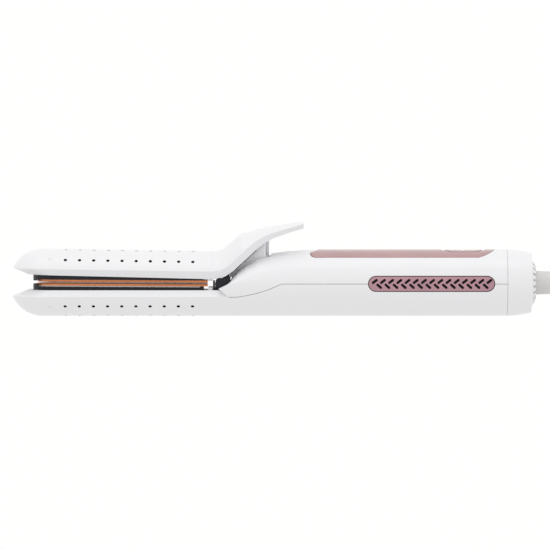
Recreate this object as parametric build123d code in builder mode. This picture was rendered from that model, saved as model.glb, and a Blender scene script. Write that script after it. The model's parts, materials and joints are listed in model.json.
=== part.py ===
from build123d import *
import os
from math import cos, pi, radians, sin, tan

# Airflow clamp styling iron: a long lower casing that is one half of the barrel and the bottom of
# the handle, a hinged upper arm with a thumb lever, two floating heated plates, a fan in the handle
# and a lead on a swivel. Millimetres. X runs from the nose to the lead, Z up, the origin is at the
# middle of the tool's length on the surface it lies on.

os.makedirs("parts", exist_ok=True)

# --- driving dimensions -------------------------------------------------------------------------
CASE_R = 20.3  # outside radius of the barrel and the handle
AXIS_Z = 20.1  # height of the casing's axis, so that a narrow flat lies at z = 0
WALL = 2.0
SEAM_GAP = 0.25  # groove between neighbouring mouldings
INNER_R = CASE_R - WALL
NOSE_X = -141.3  # centre of the ball-shaped nose
HANDLE_END = 142.1  # joint with the end collar
HINGE = Vector(-33.0, 0.0, 20.0)
ARM_TILT = 0.85  # the upper arm rests this many degrees open on its plates
PARTING_TILT = 0.33  # slope of the line where the two plates meet
LIP_TILT = 1.35  # slope of the upper arm's lip

LOWER_CREASE = 12.0
LOWER_LIP = 16.0
ARM_AXIS_Z = 19.1
UPPER_CREASE = 27.4
UPPER_LIP = 22.7
LIP_HALF = 16.0  # half width of the casing at the lips
MOUTH_HALF = 14.2  # half width of the opening that the plate tray sits in
TRAY_FRONT = -147.3
TRAY_BACK = -43.1
TRAY_HALF = 13.8
PLATE_FRONT = -144.9
PLATE_BACK = -40.6
PLATE_HALF = 12.1
PLATE_FACE = 0.4  # from the parting plane down to the working face
PLATE_THICK = 1.4
FLOAT = 0.8  # travel of a plate into its arm
TRAY_RIMS = {"upper": 1.9, "lower": 2.4}  # depth of each tray's rim
TRAY_EAR = 1.0  # depth of the taller wall at the tray's front
TRAY_DEPTH = 9.5
BOSS_DEPTH = 4.4
HEATER_DEPTH = 6.4
VENT_R = 1.05
VENT_FIRST = -127.4
VENT_PITCH = 8.627
VENT_COUNT = 10
VENT_ANGLES = (-46.5, -12.0, 12.0, 46.5)
DIMPLE_X = -136.9  # a blind dimple ahead of each row of vents

# side view of the seam between the lower casing and the handle cover: x, z
SEAM = [
    (-33.9, 17.0), (-27.9, 12.0), (-23.1, 12.0), (-17.6, 12.8), (-10.6, 14.4), (-3.5, 16.6), (4.6, AXIS_Z),
]
# crown of the handle cover's nose: x, height above the casing's axis
COVER_CROWN = [
    (-27.4, 0.9), (-26.0, 3.4), (-22.3, 8.0), (-17.6, 12.1), (-10.6, 15.8), (-2.1, 17.9), (8.0, 19.2),
    (20.0, 20.05), (32.0, CASE_R),
]
# the thumb lever in the arm's frame: x, crown, crease, underside, half width at the crease
LEVER_RISE = [
    (-38.0, 39.2, 27.4, 22.7, 18.4), (-33.2, 40.1, 28.1, 23.0, 18.5), (-29.6, 42.3, 29.9, 24.7, 18.5),
    (-25.0, 46.4, 33.7, 27.9, 18.4), (-20.7, 50.5, 38.0, 32.1, 18.2),
]
LEVER_BLADE = [
    LEVER_RISE[-1], (-15.8, 51.5, 42.6, 36.5, 16.7), (-11.1, 52.9, 46.5, 41.1, 14.8),
    (-6.5, 54.2, 49.2, 44.8, 13.3), (-0.6, 55.4, 51.5, 48.2, 12.0), (5.4, 56.5, 53.4, 50.3, 10.9),
    (11.4, 57.6, 55.2, 52.4, 9.8), (17.4, 58.3, 57.0, 54.1, 8.8),
]

PANEL_FRONT = 24.6
PANEL_BACK = 134.4
PANEL_HALF = 12.6
PANEL_STEP = 0.9  # depth of the recess that the panel lies in
BUTTON_FRONT = 104.0
BUTTON_SPLIT = 115.4
BUTTON_BACK = 127.2
BUTTON_HALF = 6.2
BUTTON_GAP = 0.35
BUTTON_TRAVEL = 0.6
GRILLE_FRONT = 57.6
GRILLE_BACK = 134.0
GRILLE_HALF = 4.4
CHEVRON_PITCH = 4.985
CHEVRON_FIRST = 61.2
CHEVRON_COUNT = 14

FAN_X = 58.0
FAN_R = 13.0
FAN_BLADES = 7
DUCT_R = 13.4
SCREW_X = (14.0, 70.5, 137.0)

CORD_D = 5.8
CORD_R = CORD_D / 2
BOOT_END = 205.0
HANK_X = 334.0  # middle of the hank
HANK_HALF_RUN = 46.0
HANK_LOOP_R = 23.2  # centreline radius of the outer turns
HANK_WAIST = 8.7  # half width of the outer turns where the tie pulls them in
HANK_TOP = 17.6
TIE_HALF = 7.0
TIE_THICK = 1.2
# the lead's route in the air and down to the hank, then its end from the hank up to the plug
LEAD_ROUTE = [
    (205.0, 0.0, 20.1), (222.0, 0.0, 20.1), (238.0, 4.0, 12.6), (254.0, 10.5, 5.2), (272.0, 18.5, 2.95),
]
TAIL_ROUTE = [(345.0, 0.0, 14.7), (356.0, -0.5, 17.2), (365.5, -1.0, 24.4), (378.0, -1.0, 24.4)]
PLUG_START = 378.0


# --- frames: each piece of the upper arm is drawn in a frame that is turned about the hinge -------
def tilted(angle):
    x_dir = Vector(1, 0, 0).rotate(Axis.Y, angle)
    z_dir = Vector(0, 0, 1).rotate(Axis.Y, angle)
    return Plane(origin=HINGE - x_dir * HINGE.X - z_dir * HINGE.Z, x_dir=x_dir, z_dir=z_dir)


def across(frame, x):
    """The plane across a frame at x; its own axes are y and z."""
    return Plane(origin=frame.from_local_coords(Vector(x, 0, 0)), x_dir=frame.y_dir, z_dir=frame.x_dir)


def side(frame, y=0.0):
    """The side view plane of a frame; its own axes are x and z, and it extrudes towards -y."""
    return Plane(origin=frame.from_local_coords(Vector(0, y, 0)), x_dir=frame.x_dir, z_dir=-frame.y_dir)


def level(frame, z):
    """The plan plane of a frame at height z; its own axes are x and y."""
    return Plane(origin=frame.from_local_coords(Vector(0, 0, z)), x_dir=frame.x_dir, z_dir=frame.z_dir)


BODY = Plane.XY
ARM = tilted(ARM_TILT)
PARTING = tilted(PARTING_TILT)
PARTING_POINT = PARTING.from_local_coords(Vector(0, 0, HINGE.Z))
# In a plate frame z is the depth from the parting plane into the arm.
PLATES = {
    "upper": Plane(origin=PARTING_POINT, x_dir=PARTING.x_dir, z_dir=PARTING.z_dir),
    "lower": Plane(origin=PARTING_POINT, x_dir=PARTING.x_dir, z_dir=-PARTING.z_dir),
}


# --- operations used by many pieces ---------------------------------------------------------------
def block(frame, x_range, half, z_range, mode=Mode.ADD):
    """A block across the middle of a frame."""
    with BuildSketch(level(frame, z_range[0])) as plan:
        with Locations(((x_range[0] + x_range[1]) / 2, 0)):
            Rectangle(x_range[1] - x_range[0], 2 * half)
    extrude(plan.sketch, amount=z_range[1] - z_range[0], mode=mode)


def rod_across(frame, centre, radius, y_range, mode=Mode.ADD):
    """A round bar along y."""
    with BuildSketch(side(frame, y_range[1])) as disc:
        with Locations(centre):
            Circle(radius)
    extrude(disc.sketch, amount=y_range[1] - y_range[0], mode=mode)


def tube_along(frame, centre, radius, x_range, mode=Mode.ADD):
    """A round bar along x."""
    with BuildSketch(across(frame, x_range[0])) as disc:
        with Locations(centre):
            Circle(radius)
    extrude(disc.sketch, amount=x_range[1] - x_range[0], mode=mode)


def bullet(frame, axis_z, radius, end_x, mode=Mode.ADD):
    """A round bar with a ball nose: the outside of a barrel arm, or with less radius its hollow."""
    with BuildSketch(side(frame)) as half:
        with BuildLine():
            Line((NOSE_X - radius, axis_z), (end_x, axis_z))
            Line((end_x, axis_z), (end_x, axis_z + radius))
            Line((end_x, axis_z + radius), (NOSE_X, axis_z + radius))
            RadiusArc((NOSE_X, axis_z + radius), (NOSE_X - radius, axis_z), -radius)
        make_face()
    revolve(half.sketch, axis=Axis(frame.from_local_coords(Vector(0, 0, axis_z)), frame.x_dir), mode=mode)


def outline(frame, z, half, nose_x, end_x):
    """The outline of a barrel arm in plan: parallel sides and a round nose."""
    with BuildSketch(level(frame, z)) as plan:
        with BuildLine():
            Line((end_x, -half), (end_x, half))
            Line((end_x, half), (nose_x, half))
            RadiusArc((nose_x, half), (nose_x, -half), -half)
            Line((nose_x, -half), (end_x, -half))
        make_face()
    return plan.sketch


def side_cut(frame, points, half, mode=Mode.SUBTRACT):
    """A side view outline of straight sides, cut or added right across the middle."""
    with BuildSketch(side(frame, half)) as shape:
        with BuildLine():
            Polyline(*points, close=True)
        make_face()
    extrude(shape.sketch, amount=2 * half, mode=mode)


def vent_rows(frame, axis_z, toward):
    """Rows of round holes through the wall of a barrel arm."""
    for angle in VENT_ANGLES:
        outward = Vector(0, sin(radians(angle)), toward * cos(radians(angle)))
        for index in range(VENT_COUNT):
            x = VENT_FIRST + index * VENT_PITCH
            start = frame.from_local_coords(Vector(x, 0, axis_z) + outward * (INNER_R - 1))
            way = frame.from_local_coords(Vector(x, 0, axis_z) + outward * CASE_R) - start
            with BuildSketch(Plane(origin=start, z_dir=way)) as hole:
                Circle(VENT_R)
            extrude(hole.sketch, amount=WALL + 2, mode=Mode.SUBTRACT)


def dimples(frame, axis_z, toward):
    """The shallow blind dimple at the front of each outer row of vents."""
    for angle in (VENT_ANGLES[0], VENT_ANGLES[-1]):
        outward = Vector(0, sin(radians(angle)), toward * cos(radians(angle)))
        start = frame.from_local_coords(Vector(DIMPLE_X, 0, axis_z) + outward * (CASE_R - 0.35))
        way = frame.from_local_coords(Vector(DIMPLE_X, 0, axis_z) + outward * (CASE_R + 2)) - start
        with BuildSketch(Plane(origin=start, z_dir=way)) as dimple:
            Circle(VENT_R)
        extrude(dimple.sketch, amount=2, mode=Mode.SUBTRACT)


def half_width(drop):
    """Half the width of the round casing at a given drop below its crown."""
    return (CASE_R**2 - (CASE_R - drop) ** 2) ** 0.5


# --- lower casing -------------------------------------------------------------------------------
LOWER_HALF = half_width(LOWER_CREASE + CASE_R - AXIS_Z)
CUT_TOP = 60.0
BARREL_END = SEAM[1][0]
NOSE_UNDERCUT = 6.6  # how far the lips' round ends stand back from the creases'
with BuildPart() as lower_hollow:
    bullet(BODY, AXIS_Z, INNER_R, BARREL_END)
    block(BODY, (-170, 0), 30, (LOWER_CREASE + 0.8, CUT_TOP), mode=Mode.SUBTRACT)

with BuildPart() as grille_opening:
    for start_y in (-30, 15):
        with BuildSketch(Plane(origin=(0, start_y, 0), x_dir=(1, 0, 0), z_dir=(0, 1, 0))) as slot:
            with Locations(((GRILLE_FRONT + GRILLE_BACK) / 2, -AXIS_Z)):
                SlotOverall(GRILLE_BACK - GRILLE_FRONT + 1.0, 2 * GRILLE_HALF + 1.0)
        extrude(slot.sketch, amount=15)

with BuildPart() as lower_casing:
    bullet(BODY, AXIS_Z, CASE_R, HANDLE_END)
    # everything above the barrel's crease and the handle's seam goes
    edge = [(x, z - SEAM_GAP) for x, z in (*SEAM[1:], (HANDLE_END + 1, AXIS_Z))]
    start = [(-170, CUT_TOP), (-170, LOWER_CREASE), (SEAM[1][0], LOWER_CREASE)]
    above = [*start, *edge, (HANDLE_END + 1, CUT_TOP)]
    side_cut(BODY, above, 30)
    block(BODY, (-170, 150), 30, (-5, 0), mode=Mode.SUBTRACT)
    crease = outline(BODY, LOWER_CREASE, LOWER_HALF, NOSE_X, BARREL_END)
    lip = outline(BODY, LOWER_LIP, LIP_HALF, NOSE_X + NOSE_UNDERCUT, BARREL_END)
    loft([crease, lip], ruled=True)
    side_cut(BODY, [SEAM[0], SEAM[1], (BARREL_END + 5, CUT_TOP), (SEAM[0][0], CUT_TOP)], 30)
    add(lower_hollow.part, mode=Mode.SUBTRACT)
    tube_along(BODY, (0, AXIS_Z), INNER_R, (BARREL_END, HANDLE_END + 1), mode=Mode.SUBTRACT)
    mouth = outline(BODY, 9, MOUTH_HALF, TRAY_FRONT - 0.4 + MOUTH_HALF, TRAY_BACK + 0.4)
    extrude(mouth, amount=9, mode=Mode.SUBTRACT)
    block(BODY, (-40.2, -37.6), 13.0, (LOWER_LIP - 0.8, 17.6))
    block(BODY, (-37.4, -30.0), 11.2, (15.6, 18), mode=Mode.SUBTRACT)
    for x in SCREW_X:
        with BuildSketch(Plane.XY.offset(1)) as boss:
            with Locations((x, 0)):
                Circle(3.6)
        extrude(boss.sketch, amount=13)
        with BuildSketch(Plane.XY.offset(-1)) as shank:
            with Locations((x, 0)):
                Circle(1.7)
        extrude(shank.sketch, amount=20, mode=Mode.SUBTRACT)
        with BuildSketch(Plane.XY.offset(-1)) as head:
            with Locations((x, 0)):
                Circle(3.0)
        extrude(head.sketch, amount=4.2, mode=Mode.SUBTRACT)
    add(grille_opening.part, mode=Mode.SUBTRACT)
    vent_rows(BODY, AXIS_Z, -1)
    dimples(BODY, AXIS_Z, -1)
lower_casing.part.label = "lower_casing"
export_step(lower_casing.part, "parts/lower_casing.step")


# --- handle cover ---------------------------------------------------------------------------------
def half_oval(x, half, rise):
    """The upper half of an oval section of the handle."""
    with BuildSketch(across(BODY, x)) as section:
        with BuildLine():
            EllipticalCenterArc((0, AXIS_Z), half, rise, start_angle=0, arc_size=180)
            Line((-half, AXIS_Z), (half, AXIS_Z))
        make_face()
    return section.sketch


def panel_outline(grow):
    """Plan of the control panel: a hollow front end and a rounded back end."""
    half = PANEL_HALF + grow
    front = PANEL_FRONT - grow
    back_start = 124.3
    corner = PANEL_HALF - 5
    with BuildSketch(Plane.XY.offset(30)) as plan:
        with BuildLine():
            ThreePointArc((back_start, -half), (PANEL_BACK + grow, 0), (back_start, half))
            Line((back_start, half), (front + 1.5, half))
            ThreePointArc((front + 1.5, half), (front - 1.8, half - 1.6), (front - 2.3, corner))
            ThreePointArc((front - 2.3, corner), (front + 2.5, 0), (front - 2.3, -corner))
            ThreePointArc((front - 2.3, -corner), (front - 1.8, 1.6 - half), (front + 1.5, -half))
            Line((front + 1.5, -half), (back_start, -half))
        make_face()
    return plan.sketch


def oval_plan(centre, length, width):
    with BuildSketch(Plane.XY.offset(30)) as plan:
        with Locations(centre):
            SlotOverall(length, width)
    return plan.sketch


PANEL_R = CASE_R + 0.1
BUTTON_MID = (BUTTON_FRONT + BUTTON_BACK) / 2
LENS_X = 34.6
LENS_Y = (-6.5, 0.0, 6.5)
with BuildPart() as panel_pocket:
    extrude(panel_outline(0.3), amount=15)
    tube_along(BODY, (0, AXIS_Z), CASE_R - PANEL_STEP, (0, 150), mode=Mode.SUBTRACT)

def button_shape(x_range, half, grow):
    """Plan of one button: one half of a long oval."""
    with BuildSketch(Plane.XY.offset(30)) as plan:
        with Locations((BUTTON_MID, 0)):
            SlotOverall(BUTTON_BACK - BUTTON_FRONT + 2 * grow, 2 * (half + grow))
        with Locations(((x_range[0] + x_range[1]) / 2, 0)):
            Rectangle(x_range[1] - x_range[0], 40, mode=Mode.INTERSECT)
    return plan.sketch


with BuildPart() as cheeks:
    tube_along(BODY, (0, AXIS_Z), CASE_R, (-36, 6))
    cheek = [*SEAM, (4.6, AXIS_Z + 0.4), (COVER_CROWN[0][0], AXIS_Z + 0.4), (-29.0, 19.4)]
    side_cut(BODY, cheek, 30, mode=Mode.INTERSECT)

with BuildPart() as cover_hollow:
    tube_along(BODY, (0, AXIS_Z), INNER_R, (-24, COVER_CROWN[-1][0]))
    block(BODY, (-25, COVER_CROWN[-1][0] + 1), 30, (AXIS_Z + 0.1, CUT_TOP), mode=Mode.SUBTRACT)
    tube_along(BODY, (0, AXIS_Z), INNER_R, (COVER_CROWN[-1][0], HANDLE_END + 1))

with BuildPart() as nose_hollow:
    loft([half_oval(x + 2.0, INNER_R - 0.2, rise - 2.15) for x, rise in COVER_CROWN[1:]], ruled=True)

with BuildPart() as handle_cover:
    loft([half_oval(x, CASE_R, rise) for x, rise in COVER_CROWN], ruled=True)
    with BuildSketch(across(BODY, COVER_CROWN[-1][0])) as arch:
        with Locations((0, AXIS_Z)):
            Circle(CASE_R)
            Rectangle(60, 30, align=(Align.CENTER, Align.MAX), mode=Mode.SUBTRACT)
    extrude(arch.sketch, amount=HANDLE_END - COVER_CROWN[-1][0])
    add(cheeks.part)
    add(cover_hollow.part, mode=Mode.SUBTRACT)
    add(nose_hollow.part, mode=Mode.SUBTRACT)
    for x in SCREW_X:
        with BuildSketch(Plane.XY.offset(14.2)) as post:
            with Locations((x, 0)):
                Circle(3.2)
        extrude(post.sketch, amount=24.6)
        with BuildSketch(Plane.XY.offset(14.1)) as thread:
            with Locations((x, 0)):
                Circle(1.5)
        extrude(thread.sketch, amount=12, mode=Mode.SUBTRACT)
    rod_across(BODY, (HINGE.X, HINGE.Z), 7.4, (-16.4, 16.4), mode=Mode.SUBTRACT)
    block(BODY, (-28, -1.8), 7.8, (21, CUT_TOP), mode=Mode.SUBTRACT)
    block(BODY, (-2, 1.2), 1.9, (21, CUT_TOP), mode=Mode.SUBTRACT)
    add(grille_opening.part, mode=Mode.SUBTRACT)
    add(panel_pocket.part, mode=Mode.SUBTRACT)
    button_hole = oval_plan((BUTTON_MID, 0), BUTTON_BACK - BUTTON_FRONT + 1.2, 2 * BUTTON_HALF + 1.2)
    extrude(button_hole, amount=15, mode=Mode.SUBTRACT)
    for y in LENS_Y:
        extrude(oval_plan((LENS_X, y), 4.4, 1.8), amount=15, mode=Mode.SUBTRACT)
handle_cover.part.label = "handle_cover"
export_step(handle_cover.part, "parts/handle_cover.step")

# --- control panel, its buttons and its lamps ----------------------------------------------------
with BuildPart() as panel_scoop:
    extrude(oval_plan((BUTTON_MID, 0), 28.7, 17.0), amount=15)
    tube_along(BODY, (0, AXIS_Z), PANEL_R - 0.45, (0, 150), mode=Mode.SUBTRACT)

with BuildPart() as control_panel:
    extrude(panel_outline(0), amount=15)
    tube_along(BODY, (0, AXIS_Z), PANEL_R, (0, 150), mode=Mode.INTERSECT)
    tube_along(BODY, (0, AXIS_Z), CASE_R - PANEL_STEP + 0.02, (0, 150), mode=Mode.SUBTRACT)
    add(panel_scoop.part, mode=Mode.SUBTRACT)
    button_window = oval_plan((BUTTON_MID, 0), BUTTON_BACK - BUTTON_FRONT, 2 * BUTTON_HALF)
    extrude(button_window, amount=15, mode=Mode.SUBTRACT)
    for y in LENS_Y:
        extrude(oval_plan((LENS_X, y), 4.2, 1.6), amount=15, mode=Mode.SUBTRACT)
control_panel.part.label = "control_panel"
export_step(control_panel.part, "parts/control_panel.step")

BUTTON_LOW = 35.9
for name, start, end in (
    ("power_button", BUTTON_FRONT - 1, BUTTON_SPLIT - BUTTON_GAP),
    ("mode_button", BUTTON_SPLIT + BUTTON_GAP, BUTTON_BACK + 1),
):
    with BuildPart() as button:
        extrude(button_shape((start, end), BUTTON_HALF, -BUTTON_GAP), amount=15)
        tube_along(BODY, (0, AXIS_Z), PANEL_R - 0.2, (0, 150), mode=Mode.INTERSECT)
        block(BODY, (0, 150), 30, (20, BUTTON_LOW), mode=Mode.SUBTRACT)
        # the flange under the cover keeps the button in
        flange = (max(start, BUTTON_FRONT - 0.8), min(end, BUTTON_BACK + 0.8))
        block(BODY, flange, BUTTON_HALF + 0.8, (BUTTON_LOW, BUTTON_LOW + 0.6))
    button.part.label = name
    export_step(button.part, f"parts/{name}.step")

with BuildPart() as indicator_lenses:
    for y in LENS_Y:
        extrude(oval_plan((LENS_X, y), 4.0, 1.4), amount=15)
    tube_along(BODY, (0, AXIS_Z), PANEL_R, (0, 150), mode=Mode.INTERSECT)
    block(BODY, (0, 150), 30, (20, 36.4), mode=Mode.SUBTRACT)
indicator_lenses.part.label = "indicator_lenses"
export_step(indicator_lenses.part, "parts/indicator_lenses.step")

# --- side air grilles and the dust screens behind them -----------------------------------------
GRILLE_MID = (GRILLE_FRONT + GRILLE_BACK) / 2


def chevron_row(plane, rise, turn, shift, count):
    """A row of slanted slots in one half of a side grille."""
    with BuildSketch(plane) as row:
        for index in range(count):
            with Locations((CHEVRON_FIRST + shift + index * CHEVRON_PITCH, AXIS_Z + rise)):
                SlotOverall(4.2, 1.6, rotation=turn)
    return row.sketch


for name, way in (("left", 1), ("right", -1)):
    outer_plane = Plane(origin=(0, 30 * way, 0), x_dir=(1, 0, 0), z_dir=(0, -1, 0))
    with BuildPart() as grille:
        tube_along(BODY, (0, AXIS_Z), CASE_R - 0.15, (GRILLE_FRONT, GRILLE_BACK))
        tube_along(BODY, (0, AXIS_Z), CASE_R - 1.6, (0, 150), mode=Mode.SUBTRACT)
        with BuildSketch(outer_plane) as stadium:
            with Locations((GRILLE_MID, AXIS_Z)):
                SlotOverall(GRILLE_BACK - GRILLE_FRONT, 2 * GRILLE_HALF)
        extrude(stadium.sketch, amount=15 * way, mode=Mode.INTERSECT)
        upper_row = chevron_row(outer_plane, 1.45, 38, 0, CHEVRON_COUNT + 1)
        lower_row = chevron_row(outer_plane, -1.5, -42, 2.7, CHEVRON_COUNT)
        extrude(upper_row, amount=15 * way, mode=Mode.SUBTRACT)
        extrude(lower_row, amount=15 * way, mode=Mode.SUBTRACT)
    grille.part.label = f"air_grille_{name}"
    export_step(grille.part, f"parts/air_grille_{name}.step")
    with BuildPart() as screen:
        tube_along(BODY, (0, AXIS_Z), INNER_R - 0.1, (GRILLE_FRONT - 1, GRILLE_BACK + 1))
        tube_along(BODY, (0, AXIS_Z), INNER_R - 0.7, (0, 150), mode=Mode.SUBTRACT)
        with BuildSketch(outer_plane) as stadium:
            with Locations((GRILLE_MID, AXIS_Z)):
                SlotOverall(GRILLE_BACK - GRILLE_FRONT + 2, 2 * GRILLE_HALF + 2)
        extrude(stadium.sketch, amount=16 * way, mode=Mode.INTERSECT)
    screen.part.label = f"dust_screen_{name}"
    export_step(screen.part, f"parts/dust_screen_{name}.step")


# --- upper arm: barrel half and thumb lever in one moulding --------------------------------------
def lever_section(x, crown, crease, under, half):
    """An arched section with sides that lean in to the underside."""
    with BuildSketch(across(ARM, x)) as section:
        with BuildLine():
            ThreePointArc((-half, crease), (0, crown), (half, crease))
            Line((half, crease), (half * 0.87, under))
            Line((half * 0.87, under), (-half * 0.87, under))
            Line((-half * 0.87, under), (-half, crease))
        make_face()
    return section.sketch


UPPER_HALF = half_width(CASE_R - (UPPER_CREASE - ARM_AXIS_Z))
LEVER_START = LEVER_RISE[0][0]
POCKET_WIDE = 12.6
POCKET_NARROW = 8.6
with BuildPart() as upper_hollow:
    bullet(ARM, ARM_AXIS_Z, INNER_R, -41.0)
    block(ARM, (-170, 0), 30, (-5, UPPER_CREASE - 0.8), mode=Mode.SUBTRACT)

under_line = [(x, under) for x, _, _, under, _ in LEVER_RISE + LEVER_BLADE[1:]]
wide_line = [(x, z) for x, z in under_line if -34 < x < -11]
narrow_line = [(x, z) for x, z in under_line if -12 < x < 6]


def band(line, low, high):
    """A strip of the side view that follows the lever's underside between two heights above it."""
    return [(x, z + low) for x, z in line] + [(x, z + high) for x, z in reversed(line)]


with BuildPart() as upper_arm:
    bullet(ARM, ARM_AXIS_Z, CASE_R, LEVER_START)
    block(ARM, (-170, 0), 30, (-5, UPPER_CREASE), mode=Mode.SUBTRACT)
    crease = outline(ARM, UPPER_CREASE, UPPER_HALF, NOSE_X, LEVER_START)
    lip = outline(tilted(LIP_TILT), UPPER_LIP, LIP_HALF, NOSE_X + NOSE_UNDERCUT, LEVER_START)
    loft([crease, lip], ruled=True)
    loft([lever_section(*station) for station in LEVER_RISE], ruled=True)
    loft([lever_section(*station) for station in LEVER_BLADE], ruled=True)
    add(upper_hollow.part, mode=Mode.SUBTRACT)
    mouth = outline(ARM, 20, MOUTH_HALF, TRAY_FRONT - 0.4 + MOUTH_HALF, TRAY_BACK + 0.4)
    extrude(mouth, amount=UPPER_CREASE - 19, mode=Mode.SUBTRACT)
    block(ARM, (-40.2, -37.6), 13.0, (21.6, UPPER_LIP + 0.9))
    side_cut(ARM, band(wide_line, -6, 5.5), POCKET_WIDE)
    side_cut(ARM, band(narrow_line, -6, 3.4), POCKET_NARROW)
    rod_across(ARM, (HINGE.X, HINGE.Z), 3.6, (-16.8, 16.8), mode=Mode.SUBTRACT)
    vent_rows(ARM, ARM_AXIS_Z, 1)
    dimples(ARM, ARM_AXIS_Z, 1)
upper_arm.part.label = "upper_arm"
export_step(upper_arm.part, "parts/upper_arm.step")

COVER_LOW = 2.2
COVER_HIGH = 3.8
with BuildPart() as lever_cover:
    behind_hinge = [point for point in wide_line if point[0] > -26]
    side_cut(ARM, band(behind_hinge, COVER_LOW, COVER_HIGH), POCKET_WIDE - 0.3, mode=Mode.ADD)
    side_cut(ARM, band(narrow_line, COVER_LOW - 0.2, 3.2), POCKET_NARROW - 0.3, mode=Mode.ADD)
    # the lug that dips into the handle, and the guide post behind it
    lug = [
        (-27.2, 30.5), (-27.2, 23.6), (-24.0, 24.9), (-18.0, 28.6), (-5.9, 35.0), (-5.9, 47.6),
        (-11.1, 43.6), (-20.7, 34.6),
    ]
    side_cut(ARM, lug, 6.8, mode=Mode.ADD)
lever_cover.part.label = "lever_cover"
export_step(lever_cover.part, "parts/lever_cover.step")

with BuildPart() as lever_seal:
    side_cut(ARM, band(wide_line, -0.6, COVER_LOW - 0.2), POCKET_WIDE - 0.2, mode=Mode.ADD)
    side_cut(ARM, [(-28.0, 20), (-28.0, 50), (-3.0, 50), (-3.0, 20)], POCKET_WIDE - 1.2)
    block(ARM, (-34.0, -26.9), 30, (10, 60), mode=Mode.SUBTRACT)
lever_seal.part.label = "lever_seal"
export_step(lever_seal.part, "parts/lever_seal.step")

with BuildPart() as lever_post:
    with BuildSketch(level(ARM, 37.0)) as disc:
        with Locations((-4.5, 0)):
            Circle(1.1)
    extrude(disc.sketch, amount=9.9)
lever_post.part.label = "lever_post"
export_step(lever_post.part, "parts/lever_post.step")

# --- hinge ------------------------------------------------------------------------------------------
PIN_R = 1.5
KNUCKLE_R = 3.0
with BuildPart() as hinge_base:
    block(BODY, (-37.2, -30.4), 10.9, (15.7, 16.9))
    block(BODY, (-37.3, -36.3), 10.9, (16.4, 21.3))
    for y_range in ((-10.9, -7.6), (7.6, 10.9)):
        rod_across(BODY, (HINGE.X, HINGE.Z), KNUCKLE_R, y_range)
        with BuildSketch(side(BODY, y_range[1])) as cheek_plate:
            with Locations((HINGE.X, 18.4)):
                Rectangle(2 * KNUCKLE_R, 3.0)
        extrude(cheek_plate.sketch, amount=y_range[1] - y_range[0])
    rod_across(BODY, (HINGE.X, HINGE.Z), PIN_R + 0.03, (-12, 12), mode=Mode.SUBTRACT)
hinge_base.part.label = "hinge_base"
export_step(hinge_base.part, "parts/hinge_base.step")

LOBE = (HINGE.X + 4.1, HINGE.Z + 2.0)
with BuildPart() as hinge_leaf:
    for y_range in ((-15.6, -11.3), (11.3, 15.6)):
        rod_across(ARM, (HINGE.X, HINGE.Z), KNUCKLE_R, y_range)
        rod_across(ARM, LOBE, 2.1, y_range)
        web_points = [
            (HINGE.X - 1.1, HINGE.Z + 2.7), (LOBE[0] - 0.9, LOBE[1] + 1.8), (LOBE[0] + 0.8, LOBE[1] - 1.8),
            (HINGE.X + 1.2, HINGE.Z - 2.7),
        ]
        with BuildSketch(side(ARM, y_range[1])) as web:
            with BuildLine():
                Polyline(*web_points, close=True)
            make_face()
        extrude(web.sketch, amount=y_range[1] - y_range[0])
    block(ARM, (-29.9, -27.4), 11.8, (22.4, 25.2))
    block(ARM, (-29.6, -27.8), 11.8, (25.0, 29.4))
    rod_across(ARM, (HINGE.X, HINGE.Z), PIN_R + 0.04, (-15.0, 15.0), mode=Mode.SUBTRACT)
hinge_leaf.part.label = "hinge_leaf"
export_step(hinge_leaf.part, "parts/hinge_leaf.step")

with BuildPart() as hinge_pin:
    rod_across(BODY, (HINGE.X, HINGE.Z), PIN_R, (-14.9, 14.9))
hinge_pin.part.label = "hinge_pin"
export_step(hinge_pin.part, "parts/hinge_pin.step")

SPRING_R = 2.45
SPRING_WIRE = 0.45
with BuildPart() as hinge_spring:
    with BuildLine():
        coil_start = (HINGE.X, -6.5, HINGE.Z)
        coil = Helix(pitch=1.3, height=13.0, radius=SPRING_R, center=coil_start, direction=(0, 1, 0))
    with BuildSketch(Plane(origin=coil @ 0, z_dir=coil % 0)) as wire:
        Circle(SPRING_WIRE)
    sweep(wire.sketch, path=coil)
hinge_spring.part.label = "hinge_spring"
export_step(hinge_spring.part, "parts/hinge_spring.step")

# --- air guides behind the vents ----------------------------------------------------------------------
GUIDE_R = 16.2
for name, frame, axis_z, cut_away in (
    ("upper", ARM, ARM_AXIS_Z, (0.0, 30.3)),
    ("lower", BODY, AXIS_Z, (10.0, CUT_TOP)),
):
    with BuildPart() as guide_core:
        tube_along(frame, (0, axis_z), GUIDE_R - 0.8, (-150, -30))
    with BuildPart() as air_guide:
        tube_along(frame, (0, axis_z), GUIDE_R, (-138.0, -45.0))
        add(guide_core.part, mode=Mode.SUBTRACT)
        block(frame, (-170, 0), 30, cut_away, mode=Mode.SUBTRACT)
    air_guide.part.label = f"{name}_air_guide"
    export_step(air_guide.part, f"parts/{name}_air_guide.step")

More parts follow.
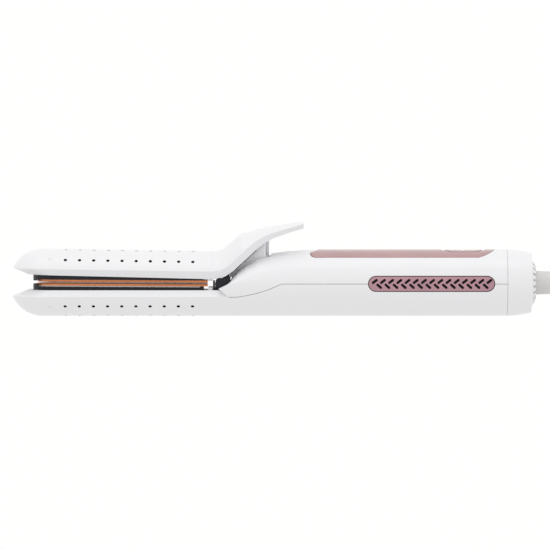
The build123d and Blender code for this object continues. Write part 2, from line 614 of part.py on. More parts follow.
# --- plate stacks, the same in both arms -----------------------------------------------------------
HEATER_RANGE = (-135.0, -56.0)
PAD_X = (-125.0, -66.0)
for name, frame in PLATES.items():
    rim = TRAY_RIMS[name]
    with BuildPart() as tray:
        outside = outline(frame, TRAY_EAR, TRAY_HALF, TRAY_FRONT + TRAY_HALF, TRAY_BACK)
        extrude(outside, amount=TRAY_DEPTH - TRAY_EAR)
        inner = TRAY_HALF - 1.5
        inside = outline(frame, 0, inner, TRAY_FRONT + 1.5 + inner, TRAY_BACK - 1.5)
        extrude(inside, amount=TRAY_DEPTH - 1.5, mode=Mode.SUBTRACT)
        block(frame, (TRAY_FRONT + 2.2, TRAY_BACK + 1), 20, (0, rim), mode=Mode.SUBTRACT)
        # the back wall is low, because the plate runs out over it
        plate_way = (0, PLATE_FACE + PLATE_THICK + FLOAT + 0.1)
        block(frame, (TRAY_BACK - 2, TRAY_BACK + 1), inner, plate_way, mode=Mode.SUBTRACT)
    tray.part.label = f"{name}_plate_tray"
    export_step(tray.part, f"parts/{name}_plate_tray.step")

    with BuildPart() as plate:
        face = outline(frame, PLATE_FACE, PLATE_HALF, PLATE_FRONT + PLATE_HALF, PLATE_BACK)
        extrude(face, amount=PLATE_THICK)
        bottom = plate.faces().sort_by(Axis(frame.origin, frame.z_dir))[0].edges()
        fillet(bottom, radius=0.4)
        block(frame, (TRAY_FRONT + 10, TRAY_BACK - 5), 10.0, (PLATE_FACE + 1, BOSS_DEPTH))
    plate.part.label = f"{name}_plate"
    export_step(plate.part, f"parts/{name}_plate.step")

    with BuildPart() as gasket:
        depth = PLATE_FACE + PLATE_THICK
        frame_outside = outline(frame, depth, PLATE_HALF - 0.1, PLATE_FRONT + PLATE_HALF, TRAY_BACK - 2.0)
        extrude(frame_outside, amount=0.7)
        block(frame, (TRAY_FRONT + 9.9, TRAY_BACK - 4.9), 10.1, (0, 5), mode=Mode.SUBTRACT)
    gasket.part.label = f"{name}_plate_gasket"
    export_step(gasket.part, f"parts/{name}_plate_gasket.step")

    with BuildPart() as heater:
        block(frame, HEATER_RANGE, 8.0, (BOSS_DEPTH, HEATER_DEPTH))
    heater.part.label = f"{name}_heater"
    export_step(heater.part, f"parts/{name}_heater.step")

    with BuildPart() as thermostat:
        with BuildSketch(level(frame, BOSS_DEPTH)) as disc:
            with Locations((-52.0, 0)):
                Circle(3.4)
        extrude(disc.sketch, amount=1.8)
    thermostat.part.label = f"{name}_thermostat"
    export_step(thermostat.part, f"parts/{name}_thermostat.step")

    with BuildPart() as pads:
        for x in PAD_X:
            block(frame, (x - 5, x + 5), 6.0, (HEATER_DEPTH, TRAY_DEPTH - 1.5))
    pads.part.label = f"{name}_pads"
    export_step(pads.part, f"parts/{name}_pads.step")


# --- rear end: collar, grille and the swivel that the lead turns in ---------------------------------
def ring(radii, x_range, mode=Mode.ADD):
    """A plain ring about the casing's axis: outer and inner radius."""
    with BuildSketch(across(BODY, x_range[0])) as shape:
        with Locations((0, AXIS_Z)):
            Circle(radii[0])
            Circle(radii[1], mode=Mode.SUBTRACT)
    extrude(shape.sketch, amount=x_range[1] - x_range[0], mode=mode)


def spokes(count, start, radii, x_range, thick, mode=Mode.ADD):
    """Flat radial bars about the casing's axis."""
    with BuildSketch(across(BODY, x_range[0])) as shape:
        with Locations((0, AXIS_Z)):
            with PolarLocations((radii[0] + radii[1]) / 2, count, start_angle=start):
                Rectangle(radii[1] - radii[0], thick)
    extrude(shape.sketch, amount=x_range[1] - x_range[0], mode=mode)


CASE_AXIS = Axis((0, 0, AXIS_Z), (1, 0, 0))
COLLAR_END = 157.2
GRILLE_R = 14.1
with BuildPart() as end_collar:
    with BuildSketch(side(BODY)) as profile:
        with BuildLine():
            ThreePointArc(
                (HANDLE_END + SEAM_GAP, AXIS_Z + CASE_R), (149.9, AXIS_Z + 19.6), (156.9, AXIS_Z + 18.2),
            )
            Polyline(
                (156.9, AXIS_Z + 18.2), (COLLAR_END, AXIS_Z + 17.9), (COLLAR_END, AXIS_Z + 14.2),
                (155.2, AXIS_Z + 14.2), (155.2, AXIS_Z + 16.5), (HANDLE_END, AXIS_Z + INNER_R),
                (HANDLE_END, AXIS_Z + CASE_R - 0.7), (HANDLE_END + SEAM_GAP, AXIS_Z + CASE_R - 0.7),
                (HANDLE_END + SEAM_GAP, AXIS_Z + CASE_R),
            )
        make_face()
    revolve(profile.sketch, axis=CASE_AXIS)
    block(BODY, (100, 170), 30, (-5, 0), mode=Mode.SUBTRACT)
end_collar.part.label = "end_collar"
export_step(end_collar.part, "parts/end_collar.step")

with BuildPart() as rear_grille:
    with BuildSketch(side(BODY)) as profile:
        with BuildLine():
            Polyline(
                (160.0, AXIS_Z + 9.0), (160.0, AXIS_Z + 7.7), (155.2, AXIS_Z + 7.7), (155.2, AXIS_Z + 12.6),
                (153.4, AXIS_Z + 12.6), (153.4, AXIS_Z + 16.0), (155.1, AXIS_Z + 16.0),
                (155.1, AXIS_Z + GRILLE_R), (COLLAR_END, AXIS_Z + GRILLE_R),
            )
            ThreePointArc(
                (COLLAR_END, AXIS_Z + GRILLE_R), (159.1, AXIS_Z + 11.9), (160.0, AXIS_Z + 9.0),
            )
        make_face()
    revolve(profile.sketch, axis=CASE_AXIS)
    spokes(20, 9, (9.6, 13.2), (150, 165), 1.5, mode=Mode.SUBTRACT)
rear_grille.part.label = "rear_grille"
export_step(rear_grille.part, "parts/rear_grille.step")

with BuildPart() as swivel_socket:
    ring((10.5, 4.0), (144.0, 145.5))
    ring((10.5, 8.8), (145.5, 154.6))
    spokes(3, 90, (10.2, 16.4), (148.0, 153.4), 2.2)
swivel_socket.part.label = "swivel_socket"
export_step(swivel_socket.part, "parts/swivel_socket.step")

with BuildPart() as swivel_clip:
    ring((8.7, 5.9), (151.0, 152.5))
swivel_clip.part.label = "swivel_clip"
export_step(swivel_clip.part, "parts/swivel_clip.step")

BOOT_PROFILE = [
    (147.0, 0.0), (147.0, 8.2), (150.5, 8.2), (150.5, 5.5), (154.0, 5.5), (154.6, 7.3), (160.0, 7.25),
    (168.5, 6.9), (185.0, 5.7), (BOOT_END, 4.3), (BOOT_END, 0.0),
]
BOOT_RIBS = (172.0, 176.5, 181.0, 185.5, 190.0, 194.5)
with BuildPart() as cord_boot:
    with BuildSketch(side(BODY)) as profile:
        with BuildLine():
            Polyline(*[(x, AXIS_Z + r) for x, r in BOOT_PROFILE], close=True)
        make_face()
    revolve(profile.sketch, axis=CASE_AXIS)
    for x in BOOT_RIBS:
        ring((9.0, 5.0 - (x - 172.0) * 0.03), (x, x + 1.5), mode=Mode.SUBTRACT)
cord_boot.part.label = "cord_boot"
export_step(cord_boot.part, "parts/cord_boot.step")

# --- fan ------------------------------------------------------------------------------------------
with BuildPart() as fan_duct:
    ring((DUCT_R + 1.2, DUCT_R), (32.0, 66.0))
    ring((INNER_R - 0.1, DUCT_R + 1.0), (44.0, 45.5))
    ring((INNER_R - 0.1, DUCT_R + 1.0), (53.5, 55.0))
    for y in (-6.0, 6.0):
        tube_along(BODY, (y, 3.6), 2.0, (40, 58), mode=Mode.SUBTRACT)
fan_duct.part.label = "fan_duct"
export_step(fan_duct.part, "parts/fan_duct.step")

with BuildPart() as fan_motor:
    tube_along(BODY, (0, AXIS_Z), 7.0, (36.0, 52.0))
    edges = fan_motor.edges().filter_by(GeomType.CIRCLE)
    fillet(edges, radius=0.8)
fan_motor.part.label = "fan_motor"
export_step(fan_motor.part, "parts/fan_motor.step")

with BuildPart() as motor_mount:
    ring((8.4, 7.1), (38.0, 50.0))
    spokes(5, 90, (8.0, DUCT_R - 0.05), (41.0, 49.0), 1.2)
motor_mount.part.label = "motor_mount"
export_step(motor_mount.part, "parts/motor_mount.step")

with BuildPart() as fan_shaft:
    tube_along(BODY, (0, AXIS_Z), 0.75, (52.4, 63.0))
fan_shaft.part.label = "fan_shaft"
export_step(fan_shaft.part, "parts/fan_shaft.step")

BLADE_ANGLE = 35.0
with BuildPart() as fan_impeller:
    for index in range(FAN_BLADES):
        turn = radians(index * 360 / FAN_BLADES)
        outward = Vector(0, cos(turn), sin(turn))
        round_way = Vector(0, -sin(turn), cos(turn))
        lean = Vector(1, 0, 0) * cos(radians(BLADE_ANGLE)) + round_way * sin(radians(BLADE_ANGLE))
        root_plane = Plane(origin=Vector(FAN_X, 0, AXIS_Z) + outward * 3.5, x_dir=lean, z_dir=outward)
        with BuildSketch(root_plane) as blade:
            SlotOverall(9.0, 1.1)
        extrude(blade.sketch, amount=12)
    tube_along(BODY, (0, AXIS_Z), FAN_R, (FAN_X - 6, FAN_X + 6), mode=Mode.INTERSECT)
    tube_along(BODY, (0, AXIS_Z), 5.0, (FAN_X - 4, FAN_X + 4))
    tube_along(BODY, (0, AXIS_Z), 0.78, (FAN_X - 6, FAN_X + 6), mode=Mode.SUBTRACT)
fan_impeller.part.label = "fan_impeller"
export_step(fan_impeller.part, "parts/fan_impeller.step")

# --- boards and wiring ------------------------------------------------------------------------------
with BuildPart() as indicator_board:
    block(BODY, (28.0, 42.0), 6.0, (35.0, 36.0))
    for y in LENS_Y:
        with BuildSketch(Plane.XY.offset(36.0)) as lamp:
            with Locations((LENS_X, y * 0.8)):
                Rectangle(2.0, 1.2)
        extrude(lamp.sketch, amount=0.35)
indicator_board.part.label = "indicator_board"
export_step(indicator_board.part, "parts/indicator_board.step")

CONTROL_TOP = 33.2
with BuildPart() as control_board:
    block(BODY, (98.0, 132.0), 12.6, (CONTROL_TOP - 1.2, CONTROL_TOP))
control_board.part.label = "control_board"
export_step(control_board.part, "parts/control_board.step")

with BuildPart() as tact_switches:
    for x in ((BUTTON_FRONT + BUTTON_SPLIT) / 2, (BUTTON_BACK + BUTTON_SPLIT) / 2):
        block(BODY, (x - 3, x + 3), 3.0, (CONTROL_TOP, CONTROL_TOP + 1.3))
        block(BODY, (x - 1.2, x + 1.2), 1.2, (CONTROL_TOP + 1.3, BUTTON_LOW - BUTTON_TRAVEL - 0.1))
tact_switches.part.label = "tact_switches"
export_step(tact_switches.part, "parts/tact_switches.step")

POWER_TOP = 10.6
with BuildPart() as power_board:
    block(BODY, (76.0, 131.0), 14.3, (POWER_TOP - 1.6, POWER_TOP))
power_board.part.label = "power_board"
export_step(power_board.part, "parts/power_board.step")

# transformer, capacitor, choke, heat sink and relay: x, y, length, width, height
COMPONENTS = [
    (84.0, -5.5, 11.0, 9.0, 8.0), (84.5, 6.5, 8.0, 8.0, 9.0), (99.0, -4.5, 12.0, 10.0, 10.0),
    (99.0, 7.5, 14.0, 3.0, 11.0), (114.0, 0.0, 9.0, 13.0, 7.5),
]
with BuildPart() as board_components:
    for x, y, length, width, height in COMPONENTS:
        with BuildSketch(Plane.XY.offset(POWER_TOP)) as base:
            with Locations((x, y)):
                Rectangle(length, width)
        extrude(base.sketch, amount=height)
board_components.part.label = "board_components"
export_step(board_components.part, "parts/board_components.step")


def wire(points, radius):
    """A round wire along a smooth path."""
    with BuildLine():
        path = Spline(*points)
    with BuildSketch(Plane(origin=path @ 0, z_dir=path % 0)) as section:
        Circle(radius)
    sweep(section.sketch, path=path)


with BuildPart() as mains_leads:
    for way in (-1, 1):
        rear_run = [(126.0, 5.5 * way, 13.6), (137.0, 5.6 * way, 14.2), (141.5, 3.6 * way, 18.0)]
        wire([*rear_run, (145.8, 2.0 * way, AXIS_Z)], 1.1)
mains_leads.part.label = "mains_leads"
export_step(mains_leads.part, "parts/mains_leads.step")

with BuildPart() as heater_leads:
    for way in (-1, 1):
        wire(
            [
                (79.0, 7.4 * way, 7.8), (70.0, 6.6 * way, 5.6), (58.0, 6.0 * way, 4.7),
                (14.0, 6.0 * way, 4.7), (-26.0, 6.0 * way, 5.2), (-46.0, 6.0 * way, 8.4),
            ],
            0.9,
        )
heater_leads.part.label = "heater_leads"
export_step(heater_leads.part, "parts/heater_leads.step")

with BuildPart() as casing_screws:
    for x in SCREW_X:
        with BuildSketch(Plane.XY.offset(0.5)) as head:
            with Locations((x, 0)):
                Circle(2.8)
        extrude(head.sketch, amount=2.7)
        with BuildSketch(Plane.XY.offset(0.5)) as slots:
            with Locations((x, 0)):
                Rectangle(3.2, 0.7)
                Rectangle(0.7, 3.2)
        extrude(slots.sketch, amount=1.2, mode=Mode.SUBTRACT)
        with BuildSketch(Plane.XY.offset(3.2)) as shank:
            with Locations((x, 0)):
                Circle(1.45)
        extrude(shank.sketch, amount=21.0)
casing_screws.part.label = "casing_screws"
export_step(casing_screws.part, "parts/casing_screws.step")


# --- lead, hank and plug --------------------------------------------------------------------------
def bend_radii(route):
    """A bend radius for each inner point, so that each bend takes 45% of its shorter neighbouring run."""
    radii = []
    for before, point, after in zip(route, route[1:], route[2:]):
        arriving = Vector(point) - Vector(before)
        leaving = Vector(after) - Vector(point)
        turn = radians(arriving.get_angle(leaving))
        radii.append(0.45 * min(arriving.length, leaving.length) / tan(turn / 2))
    return radii


for name, route in (("cord_lead", LEAD_ROUTE), ("cord_tail", TAIL_ROUTE)):
    radii = bend_radii(route)
    print(name, "bend radii", [round(radius, 1) for radius in radii])
    with BuildPart() as cord:
        with BuildLine():
            path = FilletPolyline(*route, radius=radii)
        with BuildSketch(Plane(origin=path @ 0, z_dir=path % 0)) as section:
            Circle(CORD_R)
        sweep(section.sketch, path=path)
    cord.part.label = name
    export_step(cord.part, f"parts/{name}.step")

HANK_OUT = HANK_LOOP_R + CORD_R
HANK_IN = HANK_WAIST + CORD_R
with BuildPart() as cord_hank:
    steps = [index / 8 for index in range(9)]
    near = [
        (HANK_X + HANK_HALF_RUN * (2 * t - 1), -(HANK_IN + (HANK_OUT - HANK_IN) * (1 + cos(2 * pi * t)) / 2))
        for t in steps
    ]
    far = [(x, -y) for x, y in near]
    with BuildSketch(Plane.XY) as plan:
        with BuildLine():
            Spline(*near, tangents=((1, 0), (1, 0)))
            RadiusArc(near[-1], far[-1], -HANK_OUT)
            Spline(*reversed(far), tangents=((-1, 0), (-1, 0)))
            RadiusArc(far[0], near[0], -HANK_OUT)
        make_face()
    extrude(plan.sketch, amount=HANK_TOP)
    tie_way = (HANK_X - TIE_HALF - 0.1, HANK_X + TIE_HALF + 0.1)
    block(BODY, tie_way, 20, (-1, TIE_THICK + 0.05), mode=Mode.SUBTRACT)
cord_hank.part.label = "cord_hank"
export_step(cord_hank.part, "parts/cord_hank.step")

TIE_IN = HANK_IN + 0.9
with BuildPart() as cord_tie:
    block(BODY, (HANK_X - TIE_HALF, HANK_X + TIE_HALF), TIE_IN + TIE_THICK, (0, HANK_TOP + 0.1 + TIE_THICK))
    block(BODY, (HANK_X - 20, HANK_X + 20), TIE_IN, (TIE_THICK, HANK_TOP + 0.1), mode=Mode.SUBTRACT)
cord_tie.part.label = "cord_tie"
export_step(cord_tie.part, "parts/cord_tie.step")

PLUG_Y = TAIL_ROUTE[-1][1]
PLUG_Z = TAIL_ROUTE[-1][2]
PLUG_SHOULDER = PLUG_START + 10.0
PLUG_FACE = PLUG_START + 28.0
with BuildPart() as plug_body:
    for start, end, wide, high in (
        (PLUG_START, PLUG_SHOULDER, 11.0, 9.6),
        (PLUG_SHOULDER, PLUG_FACE, 20.0, 13.2),
    ):
        with BuildSketch(across(BODY, start)) as section:
            with Locations((PLUG_Y, PLUG_Z)):
                RectangleRounded(wide, high, 3.5)
        extrude(section.sketch, amount=end - start)
plug_body.part.label = "plug_body"
export_step(plug_body.part, "parts/plug_body.step")

BLADE_SPACING = 12.7
with BuildPart() as plug_blades:
    for way in (-1, 1):
        with BuildSketch(across(BODY, PLUG_FACE)) as blade:
            with Locations((PLUG_Y + way * BLADE_SPACING / 2, PLUG_Z)):
                Rectangle(1.5, 6.35)
        extrude(blade.sketch, amount=17.0)
plug_blades.part.label = "plug_blades"
export_step(plug_blades.part, "parts/plug_blades.step")
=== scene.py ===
import json
import math

import bpy
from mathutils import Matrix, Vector


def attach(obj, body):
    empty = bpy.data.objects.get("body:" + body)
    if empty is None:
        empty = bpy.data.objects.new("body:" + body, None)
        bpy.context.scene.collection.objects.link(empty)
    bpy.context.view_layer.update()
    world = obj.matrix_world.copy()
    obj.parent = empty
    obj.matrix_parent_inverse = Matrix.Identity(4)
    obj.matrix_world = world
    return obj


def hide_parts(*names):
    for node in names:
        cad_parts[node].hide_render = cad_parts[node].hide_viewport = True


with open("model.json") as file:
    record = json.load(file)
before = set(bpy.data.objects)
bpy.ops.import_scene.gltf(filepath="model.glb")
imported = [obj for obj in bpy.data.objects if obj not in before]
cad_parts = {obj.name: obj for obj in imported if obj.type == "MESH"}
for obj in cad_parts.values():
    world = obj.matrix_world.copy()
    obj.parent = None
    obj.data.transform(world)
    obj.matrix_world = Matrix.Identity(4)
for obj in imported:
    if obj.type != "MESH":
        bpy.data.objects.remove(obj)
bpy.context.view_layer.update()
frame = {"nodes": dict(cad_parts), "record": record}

MM = 0.001
scene = bpy.context.scene

# --- camera ----------------------------------------------------------------------------------------
ELEVATION = math.radians(2.0)
DISTANCE = 3.9
AIM = Vector((0.0005, 0.0, 0.0248))
cam_data = bpy.data.cameras.new("camera")
cam_data.lens = 417.4
cam_data.sensor_width = 36.0
cam_data.clip_start = 0.1
cam_data.clip_end = 50.0
camera = bpy.data.objects.new("camera", cam_data)
scene.collection.objects.link(camera)
camera.location = AIM + Vector((0, -math.cos(ELEVATION), math.sin(ELEVATION))) * DISTANCE
camera.rotation_euler = (math.pi / 2 - ELEVATION, 0, 0)
scene.camera = camera
scene.render.resolution_x = 550
scene.render.resolution_y = 550

# --- the lead: from the boot to the hank, round its turns and up to the plug, in millimetres --------
CORD_D = 0.0058
HANK_X, HALF_RUN, STRAND_LIFT = 334.0, 46.0, 1.2
LEAD_ROUTE = [
    (205.0, 0.0, 20.1), (222.0, 0.0, 20.1), (238.0, 4.0, 12.6), (254.0, 10.5, 5.2), (272.0, 18.5, 2.95),
]
TAIL_ROUTE = [(345.0, 0.0, 14.7), (356.0, -0.5, 17.2), (365.5, -1.0, 24.4), (378.0, -1.0, 24.4)]
# each turn: loop radius, height, half width where the tie pulls it in
TURNS = [
    (23.2, 2.9, 8.7), (17.4, 2.9, 2.9), (17.4, 8.7, 2.9), (23.2, 8.7, 8.7), (20.3, 13.7, 5.8),
    (14.5, 13.7, 0.0),
]
LOOP_STEPS, RUN_STEPS = 8, 7
TURN_STEPS = 2 * (LOOP_STEPS + RUN_STEPS)


def turn_point(step, radius, height, waist):
    """A point of one turn: the far run, the right loop, the near run, then the left loop."""
    half, along = divmod(step, LOOP_STEPS + RUN_STEPS)
    way = 1 - 2 * half
    if along <= RUN_STEPS:
        t = along / RUN_STEPS
        swell = (1 + math.cos(2 * math.pi * t)) / 2
        x = way * HALF_RUN * (2 * t - 1)
        return (HANK_X + x, way * (waist + (radius - waist) * swell), height + STRAND_LIFT * (1 - swell))
    angle = math.pi / 2 - (along - RUN_STEPS) / LOOP_STEPS * math.pi
    wide = radius / math.cos(math.pi / LOOP_STEPS / 2)
    return (HANK_X + way * (HALF_RUN + wide * math.cos(angle)), way * wide * math.sin(angle), height)


def hank_points():
    points = []
    for now, after in zip(TURNS, TURNS[1:]):
        for step in range(TURN_STEPS):
            mix = min(max((step / TURN_STEPS - 0.76) / 0.22, 0.0), 1.0)
            points.append(turn_point(step, *[a + (b - a) * mix for a, b in zip(now, after)]))
    points += [turn_point(step, *TURNS[-1]) for step in range(4)]
    return points


def nurbs_tube(name, points, radius):
    curve = bpy.data.curves.new(name, "CURVE")
    curve.dimensions = "3D"
    spline = curve.splines.new("NURBS")
    spline.points.add(len(points) - 1)
    for target, point in zip(spline.points, points):
        target.co = (point[0] * MM, point[1] * MM, point[2] * MM, 1.0)
        target.radius = radius
    spline.order_u = 3
    spline.use_endpoint_u = True
    spline.resolution_u = 6
    curve.bevel_depth = 1.0
    curve.bevel_resolution = 5
    curve.use_fill_caps = True
    piece = bpy.data.objects.new(name, curve)
    scene.collection.objects.link(piece)
    return piece


cord = nurbs_tube("mains_cord", LEAD_ROUTE + hank_points() + TAIL_ROUTE, CORD_D / 2)
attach(cord, "handle")
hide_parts("cord_lead", "cord_hank", "cord_tail")


# --- materials --------------------------------------------------------------------------------------
def new_material(name):
    material = bpy.data.materials.new(name)
    material.use_nodes = True
    tree = material.node_tree
    shader = tree.nodes["Principled BSDF"]
    place = tree.nodes.new("ShaderNodeTexCoord")
    return material, tree, shader, place


def noise(tree, place, scale, detail=3.0, stretch=(1, 1, 1)):
    """Noise in object space, in cycles per metre, stretched along an axis by a smaller number."""
    mapping = tree.nodes.new("ShaderNodeMapping")
    mapping.inputs["Scale"].default_value = stretch
    texture = tree.nodes.new("ShaderNodeTexNoise")
    texture.inputs["Scale"].default_value = scale
    texture.inputs["Detail"].default_value = detail
    tree.links.new(place.outputs["Object"], mapping.inputs["Vector"])
    tree.links.new(mapping.outputs["Vector"], texture.inputs["Vector"])
    return texture.outputs["Fac"]


def spread(tree, fac, low, high):
    """A number that runs from low to high as the noise does."""
    node = tree.nodes.new("ShaderNodeMapRange")
    node.inputs["From Min"].default_value = 0.3
    node.inputs["From Max"].default_value = 0.7
    node.inputs["To Min"].default_value = low
    node.inputs["To Max"].default_value = high
    tree.links.new(fac, node.inputs["Value"])
    return node.outputs["Result"]


def set_or_link(tree, socket, value):
    """Give a socket a fixed value, or the output of another node."""
    if isinstance(value, bpy.types.NodeSocket):
        tree.links.new(value, socket)
    else:
        socket.default_value = value


def mix_colors(tree, fac, first, second):
    """The first colour where fac is 0, the second where it is 1."""
    node = tree.nodes.new("ShaderNodeMix")
    node.data_type = "RGBA"
    sockets = [socket for socket in node.inputs if socket.type == "RGBA"]
    set_or_link(tree, sockets[0], first)
    set_or_link(tree, sockets[1], second)
    tree.links.new(fac, node.inputs[0])
    return next(socket for socket in node.outputs if socket.type == "RGBA")


def tint(tree, fac, dark, light):
    return mix_colors(tree, spread(tree, fac, 0, 1), (*dark, 1), (*light, 1))


def bump(tree, shader, fac, strength, distance, under=None):
    node = tree.nodes.new("ShaderNodeBump")
    node.inputs["Strength"].default_value = strength
    node.inputs["Distance"].default_value = distance
    tree.links.new(fac, node.inputs["Height"])
    if under:
        tree.links.new(under, node.inputs["Normal"])
    tree.links.new(node.outputs["Normal"], shader.inputs["Normal"])
    return node.outputs["Normal"]


def calculate(tree, operation, *values):
    node = tree.nodes.new("ShaderNodeMath")
    node.operation = operation
    for socket, value in zip(node.inputs, values):
        set_or_link(tree, socket, value)
    return node.outputs[0]


# where the vent and seam walls that get painted shade lie, in metres
CASE_AXIS_Z = 0.0201
WALL_RADII = (0.0184, 0.02005)
BARREL_MIDDLE, BARREL_HALF = -0.0886, 0.0415
HANDLE_MIDDLE, HANDLE_HALF = 0.0875, 0.0543
ARM_LEAN = (-0.01483, -0.0015)  # slope of the arm's axis against x, and its offset from the casing's axis at x = 0
VENT_RISE = 0.0105
OUTER_ROW_Y = 0.008


def vent_wall_painted_shade(tree, place):
    """Painted shade mask: 1 on the walls of the outer vents and of the handle's seams and openings, where shade
    falls, 0 on the outside.
    """
    split = tree.nodes.new("ShaderNodeSeparateXYZ")
    tree.links.new(place.outputs["Object"], split.inputs[0])
    x, y, z = split.outputs
    from_barrel = calculate(tree, "ABSOLUTE", calculate(tree, "ADD", x, -BARREL_MIDDLE))
    from_handle = calculate(tree, "ABSOLUTE", calculate(tree, "ADD", x, -HANDLE_MIDDLE))
    barrel = calculate(tree, "LESS_THAN", from_barrel, BARREL_HALF)
    handle = calculate(tree, "LESS_THAN", from_handle, HANDLE_HALF)
    # the upper half's axis leans with its arm
    upper = calculate(tree, "MULTIPLY", barrel, calculate(tree, "GREATER_THAN", z, 0.02))
    lean = calculate(tree, "MULTIPLY_ADD", x, *ARM_LEAN)
    centre = calculate(tree, "MULTIPLY_ADD", upper, lean, CASE_AXIS_Z)
    rise = calculate(tree, "SUBTRACT", z, centre)
    squares = calculate(tree, "MULTIPLY_ADD", y, y, calculate(tree, "MULTIPLY", rise, rise))
    above_inside = calculate(tree, "GREATER_THAN", squares, WALL_RADII[0] ** 2)
    below_outside = calculate(tree, "LESS_THAN", squares, WALL_RADII[1] ** 2)
    in_wall = calculate(tree, "MULTIPLY", below_outside, above_inside)
    steep = calculate(tree, "GREATER_THAN", calculate(tree, "ABSOLUTE", rise), VENT_RISE)
    outer_row = calculate(tree, "GREATER_THAN", calculate(tree, "ABSOLUTE", y), OUTER_ROW_Y)
    vents = calculate(tree, "MULTIPLY", barrel, calculate(tree, "MULTIPLY", steep, outer_row))
    return calculate(tree, "MULTIPLY", in_wall, calculate(tree, "MAXIMUM", vents, handle))


def finish_surface(
    name, color, vary=0.04, rough=(0.35, 0.45), metallic=0.0, grain=2500.0, grain_bump=0.08,
    stretch=(1, 1, 1), coat=0.0, specular=0.5, painted_vent_shade=False,
):
    """A surface with a slow drift of colour, a fine grain in its relief and an uneven polish, and, if asked,
    painted shade in near-black on the walls of its vents and seams.
    """
    material, tree, shader, place = new_material(name)
    slow = noise(tree, place, 60.0, 2.0)
    dark = tuple(max(c * (1 - vary), 0) for c in color)
    light = tuple(min(c * (1 + vary), 1) for c in color)
    paint = tint(tree, slow, dark, light)
    if painted_vent_shade:
        # painted shade: the vent and seam walls are painted near-black in place of the shade that falls in them
        paint = mix_colors(tree, vent_wall_painted_shade(tree, place), paint, (0.012, 0.012, 0.016, 1))
    tree.links.new(paint, shader.inputs["Base Color"])
    polish = noise(tree, place, grain * 0.2, 4.0, stretch)
    tree.links.new(spread(tree, polish, *rough), shader.inputs["Roughness"])
    relief = bump(tree, shader, noise(tree, place, grain, 3.0, stretch), grain_bump, 0.00008)
    bump(tree, shader, noise(tree, place, 180.0, 2.0), 0.03, 0.0002, relief)
    shader.inputs["Metallic"].default_value = metallic
    shader.inputs["Coat Weight"].default_value = coat
    shader.inputs["Coat Roughness"].default_value = 0.12
    shader.inputs["Specular IOR Level"].default_value = specular
    return material


def mesh_cloth(name):
    """Black woven screen: two crossing waves."""
    material, tree, shader, place = new_material(name)
    shader.inputs["Base Color"].default_value = (0.012, 0.011, 0.012, 1)
    mix = tree.nodes.new("ShaderNodeMath")
    mix.operation = "MAXIMUM"
    for index, axis in enumerate(("X", "Z")):
        wave = tree.nodes.new("ShaderNodeTexWave")
        wave.bands_direction = axis
        wave.inputs["Scale"].default_value = 450.0
        tree.links.new(place.outputs["Object"], wave.inputs["Vector"])
        tree.links.new(wave.outputs["Fac"], mix.inputs[index])
    tree.links.new(spread(tree, mix.outputs[0], 0.5, 0.8), shader.inputs["Roughness"])
    bump(tree, shader, mix.outputs[0], 0.6, 0.0002)
    return material


def circuit(name):
    """Green board with paler tracks."""
    material, tree, shader, place = new_material(name)
    cells = tree.nodes.new("ShaderNodeTexVoronoi")
    cells.feature = "DISTANCE_TO_EDGE"
    cells.inputs["Scale"].default_value = 320.0
    tree.links.new(place.outputs["Object"], cells.inputs["Vector"])
    edge = calculate(tree, "GREATER_THAN", cells.outputs["Distance"], 0.09)
    board = mix_colors(tree, edge, (0.05, 0.22, 0.09, 1), (0.012, 0.09, 0.035, 1))
    tree.links.new(board, shader.inputs["Base Color"])
    tree.links.new(spread(tree, noise(tree, place, 900.0), 0.25, 0.4), shader.inputs["Roughness"])
    bump(tree, shader, edge, 0.2, 0.00005)
    return material


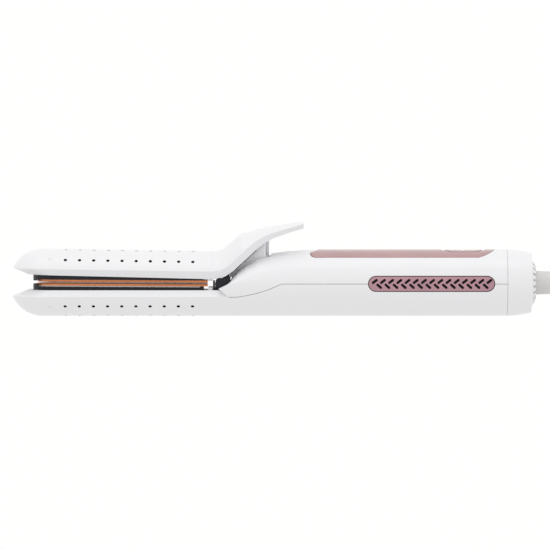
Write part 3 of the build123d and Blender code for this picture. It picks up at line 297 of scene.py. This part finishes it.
MATERIALS = {"screen_black": mesh_cloth("screen_black"), "board_green": circuit("board_green")}
BRUSHED_X = (0.1, 1, 1)
FINISHES = {
    # the white shells get painted shade on their vent and seam walls
    "shell_white": dict(
        color=(0.79, 0.79, 0.805), vary=0.006, rough=(0.30, 0.38), grain=3500, grain_bump=0.05, painted_vent_shade=True,
    ),
    "inner_grey": dict(color=(0.78, 0.775, 0.80), vary=0.015, rough=(0.45, 0.55), grain_bump=0.10),
    "rose_panel": dict(
        color=(0.46, 0.285, 0.29), vary=0.05, rough=(0.20, 0.34), metallic=0.35, grain=1800,
        grain_bump=0.12, stretch=(0.06, 1, 1), coat=0.5,
    ),
    "rose_button": dict(
        color=(0.50, 0.33, 0.33), vary=0.05, rough=(0.20, 0.32), metallic=0.35, grain=1800,
        grain_bump=0.12, stretch=(0.06, 1, 1), coat=0.5,
    ),
    "rose_grille": dict(
        color=(0.43, 0.24, 0.28), vary=0.08, rough=(0.28, 0.42), metallic=0.2, grain=2200, grain_bump=0.15,
    ),
    "lamp_white": dict(color=(0.42, 0.33, 0.34), vary=0.03, rough=(0.15, 0.25), grain_bump=0.05, coat=0.3),
    "component_black": dict(color=(0.03, 0.03, 0.035), vary=0.2, rough=(0.4, 0.6), grain_bump=0.2),
    "black_plastic": dict(
        color=(0.008, 0.010, 0.015), vary=0.2, rough=(0.45, 0.6), grain=1800, grain_bump=0.3, specular=0.3,
    ),
    "steel": dict(
        color=(0.60, 0.60, 0.61), vary=0.06, rough=(0.25, 0.4), metallic=1.0, grain=2200, grain_bump=0.15,
        stretch=(1, 0.1, 1),
    ),
    "copper_plate": dict(
        color=(0.60, 0.21, 0.085), vary=0.08, rough=(0.22, 0.34), metallic=0.6, grain=3000, grain_bump=0.15,
        stretch=BRUSHED_X,
    ),
    "heater_ceramic": dict(color=(0.78, 0.75, 0.68), vary=0.05, rough=(0.6, 0.8), grain=1500, grain_bump=0.3),
    "gasket_white": dict(color=(0.80, 0.74, 0.70), vary=0.02, rough=(0.4, 0.5), grain_bump=0.1),
    "silicone": dict(color=(0.45, 0.10, 0.06), vary=0.08, rough=(0.5, 0.65), grain=1200, grain_bump=0.2),
    "cord_white": dict(color=(0.62, 0.605, 0.595), vary=0.02, rough=(0.38, 0.5), grain=1600, grain_bump=0.15),
    "tie_black": dict(
        color=(0.02, 0.02, 0.022), vary=0.2, rough=(0.6, 0.8), grain=1500, grain_bump=0.6,
        stretch=(1, 0.2, 0.2),
    ),
    "plug_brass": dict(
        color=(0.80, 0.66, 0.38), vary=0.06, rough=(0.2, 0.35), metallic=1.0, grain=2500, grain_bump=0.12,
        stretch=BRUSHED_X,
    ),
    "lead_grey": dict(color=(0.35, 0.35, 0.37), vary=0.05, rough=(0.45, 0.6), grain_bump=0.15),
}
for name, settings in FINISHES.items():
    MATERIALS[name] = finish_surface(name, **settings)

slots = {entry["node"]: entry["material_slot"] for entry in frame["record"]["subparts"]}
for node, piece in frame["nodes"].items():
    for material_slot in piece.material_slots:
        material_slot.material = MATERIALS[slots[node]]
cord.data.materials.append(MATERIALS["cord_white"])

# --- light ------------------------------------------------------------------------------------------
world = bpy.data.worlds.new("studio")
scene.world = world
world.use_nodes = True
sky = world.node_tree
sky_place = sky.nodes.new("ShaderNodeTexCoord")
sky_split = sky.nodes.new("ShaderNodeSeparateXYZ")
sky_ramp = sky.nodes.new("ShaderNodeValToRGB")
sky_raise = sky.nodes.new("ShaderNodeMapRange")
sky_raise.inputs["From Min"].default_value = -1.0
sky.links.new(sky_place.outputs["Generated"], sky_split.inputs[0])
sky.links.new(sky_split.outputs["Z"], sky_raise.inputs["Value"])
sky.links.new(sky_raise.outputs["Result"], sky_ramp.inputs["Fac"])
sky.links.new(sky_ramp.outputs["Color"], sky.nodes["Background"].inputs["Color"])
# white at the horizon and above, greyer towards the floor
SKY_LEVELS = {0.0: 0.90, 0.36: 0.95, 0.45: 1.0, 1.0: 1.0}
for place in list(SKY_LEVELS)[1:-1]:
    sky_ramp.color_ramp.elements.new(place)
for stop, level in zip(sky_ramp.color_ramp.elements, SKY_LEVELS.values()):
    stop.color = (level, level, level * 0.995, 1)


def area_light(name, place, aim, size, power):
    data = bpy.data.lights.new(name, "AREA")
    data.shape = "RECTANGLE"
    data.size, data.size_y = size
    data.energy = power
    light = bpy.data.objects.new(name, data)
    scene.collection.objects.link(light)
    light.location = place
    light.rotation_euler = (Vector(aim) - Vector(place)).to_track_quat("-Z", "Y").to_euler()
    return light


area_light("top_light", (0.0, -0.35, 1.3), (0.0, 0.0, 0.02), (1.4, 0.7), 3.0)
scene.view_settings.view_transform = "Standard"
